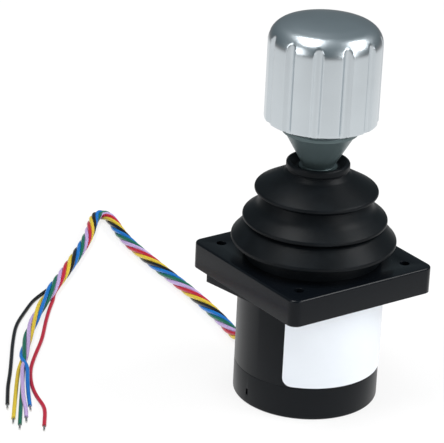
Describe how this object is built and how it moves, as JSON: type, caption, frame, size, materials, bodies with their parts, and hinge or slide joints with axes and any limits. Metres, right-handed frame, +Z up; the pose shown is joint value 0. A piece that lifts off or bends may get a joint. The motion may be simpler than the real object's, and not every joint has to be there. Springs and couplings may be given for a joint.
{
  "type": "industrial joystick",
  "caption": "Panel-mount industrial joystick with a square flange, ribbed rubber boot, fluted silver twist knob, round body and loose lead wires.",
  "frame": {"origin": "middle of the base cap's underside, on the lever's axis", "axes": "+Z up along the upright lever; +X and +Y along the flange's sides; the wires leave on the -X side"},
  "size_m": [0.1834, 0.1284, 0.1311],
  "materials": {
    "knob_alloy": "satin, turned and fluted",
    "cone_alloy": "satin dark grey-green",
    "body_plastic": "fine moulded",
    "flange_plastic": "satin moulded",
    "boot_rubber": "satin",
    "seal_rubber": "matte",
    "label_white": "smooth, blank",
    "zinc_steel": "zinc plated",
    "spring_steel": "drawn wire",
    "clip_steel": "phosphated",
    "cast_zinc": "die cast",
    "ring_brass": "machined",
    "bush_bronze": "sintered",
    "inner_plastic": "natural moulded",
    "board_green": "solder mask",
    "chip_black": "moulded",
    "magnet_dark": "nickel plated",
    "wire_blue": "satin insulation",
    "wire_green": "satin insulation",
    "wire_lilac": "satin insulation",
    "wire_yellow": "satin insulation",
    "wire_black": "satin insulation",
    "wire_red": "satin insulation",
    "strand_tin": "tinned strands"
  },
  "bodies": {
    "housing": {"housing": "body_plastic", "base_cap": "body_plastic", "base_screws": "zinc_steel", "base_seal": "seal_rubber", "label": "label_white", "cable_grommet": "seal_rubber", "sensor_board": "board_green", "hall_sensors": "chip_black", "board_screws": "zinc_steel", "wire_header": "inner_plastic", "bezel": "flange_plastic", "bezel_screws": "zinc_steel", "boot": "boot_rubber", "boot_retainer": "inner_plastic", "gimbal_carrier": "cast_zinc", "carrier_pins": "zinc_steel", "gate_plate": "zinc_steel", "gate_screws": "zinc_steel", "spring_seat": "inner_plastic", "wire_bundle": "wire_blue", "wire_quad": "wire_green", "wire_black": "wire_black", "wire_red": "wire_red", "wire_yellow": "wire_yellow", "wire_green": "wire_green", "wire_lilac": "wire_lilac", "wire_blue": "wire_blue", "wire_tips": "strand_tin"},
    "gimbal": {"gimbal_ring": "ring_brass", "ring_bushes": "bush_bronze", "block_pins": "zinc_steel"},
    "lever": {"shaft": "zinc_steel", "pivot_block": "cast_zinc", "centring_spring": "spring_steel", "spring_washer": "zinc_steel", "spring_clip": "clip_steel", "magnet_holder": "inner_plastic", "position_magnet": "magnet_dark", "lever_cone": "cone_alloy", "cone_grub_screw": "clip_steel", "stop_pin": "zinc_steel", "thrust_washer": "inner_plastic", "spring_sleeve": "inner_plastic", "knob_circlip": "clip_steel", "twist_board": "board_green", "twist_sensor": "chip_black", "shaft_leads": "wire_red", "flex_lead": "wire_red"},
    "knob": {"knob_shell": "knob_alloy", "knob_hub": "body_plastic", "knob_bushes": "bush_bronze", "bearing_plate": "cast_zinc", "twist_spring": "spring_steel", "twist_magnet": "magnet_dark"}
  },
  "joints": [
    {"name": "tilt_about_x", "type": "hinge", "parent": "housing", "child": "gimbal", "pos_m": [0, 0, 0.03557], "axis": [1, 0, 0], "range_deg": [-18, 18], "stiffness_Nm_per_rad": 0.8, "deforming": ["boot", "flex_lead"]},
    {"name": "tilt_about_y", "type": "hinge", "parent": "gimbal", "child": "lever", "pos_m": [0, 0, 0.03557], "axis": [0, 1, 0], "range_deg": [-18, 18], "stiffness_Nm_per_rad": 0.8, "deforming": ["centring_spring"]},
    {"name": "knob_twist", "type": "hinge", "parent": "lever", "child": "knob", "pos_m": [0, 0, 0.11], "axis": [0, 0, 1], "range_deg": [-30, 30], "stiffness_Nm_per_rad": 0.25, "deforming": ["twist_spring"]}
  ]
}
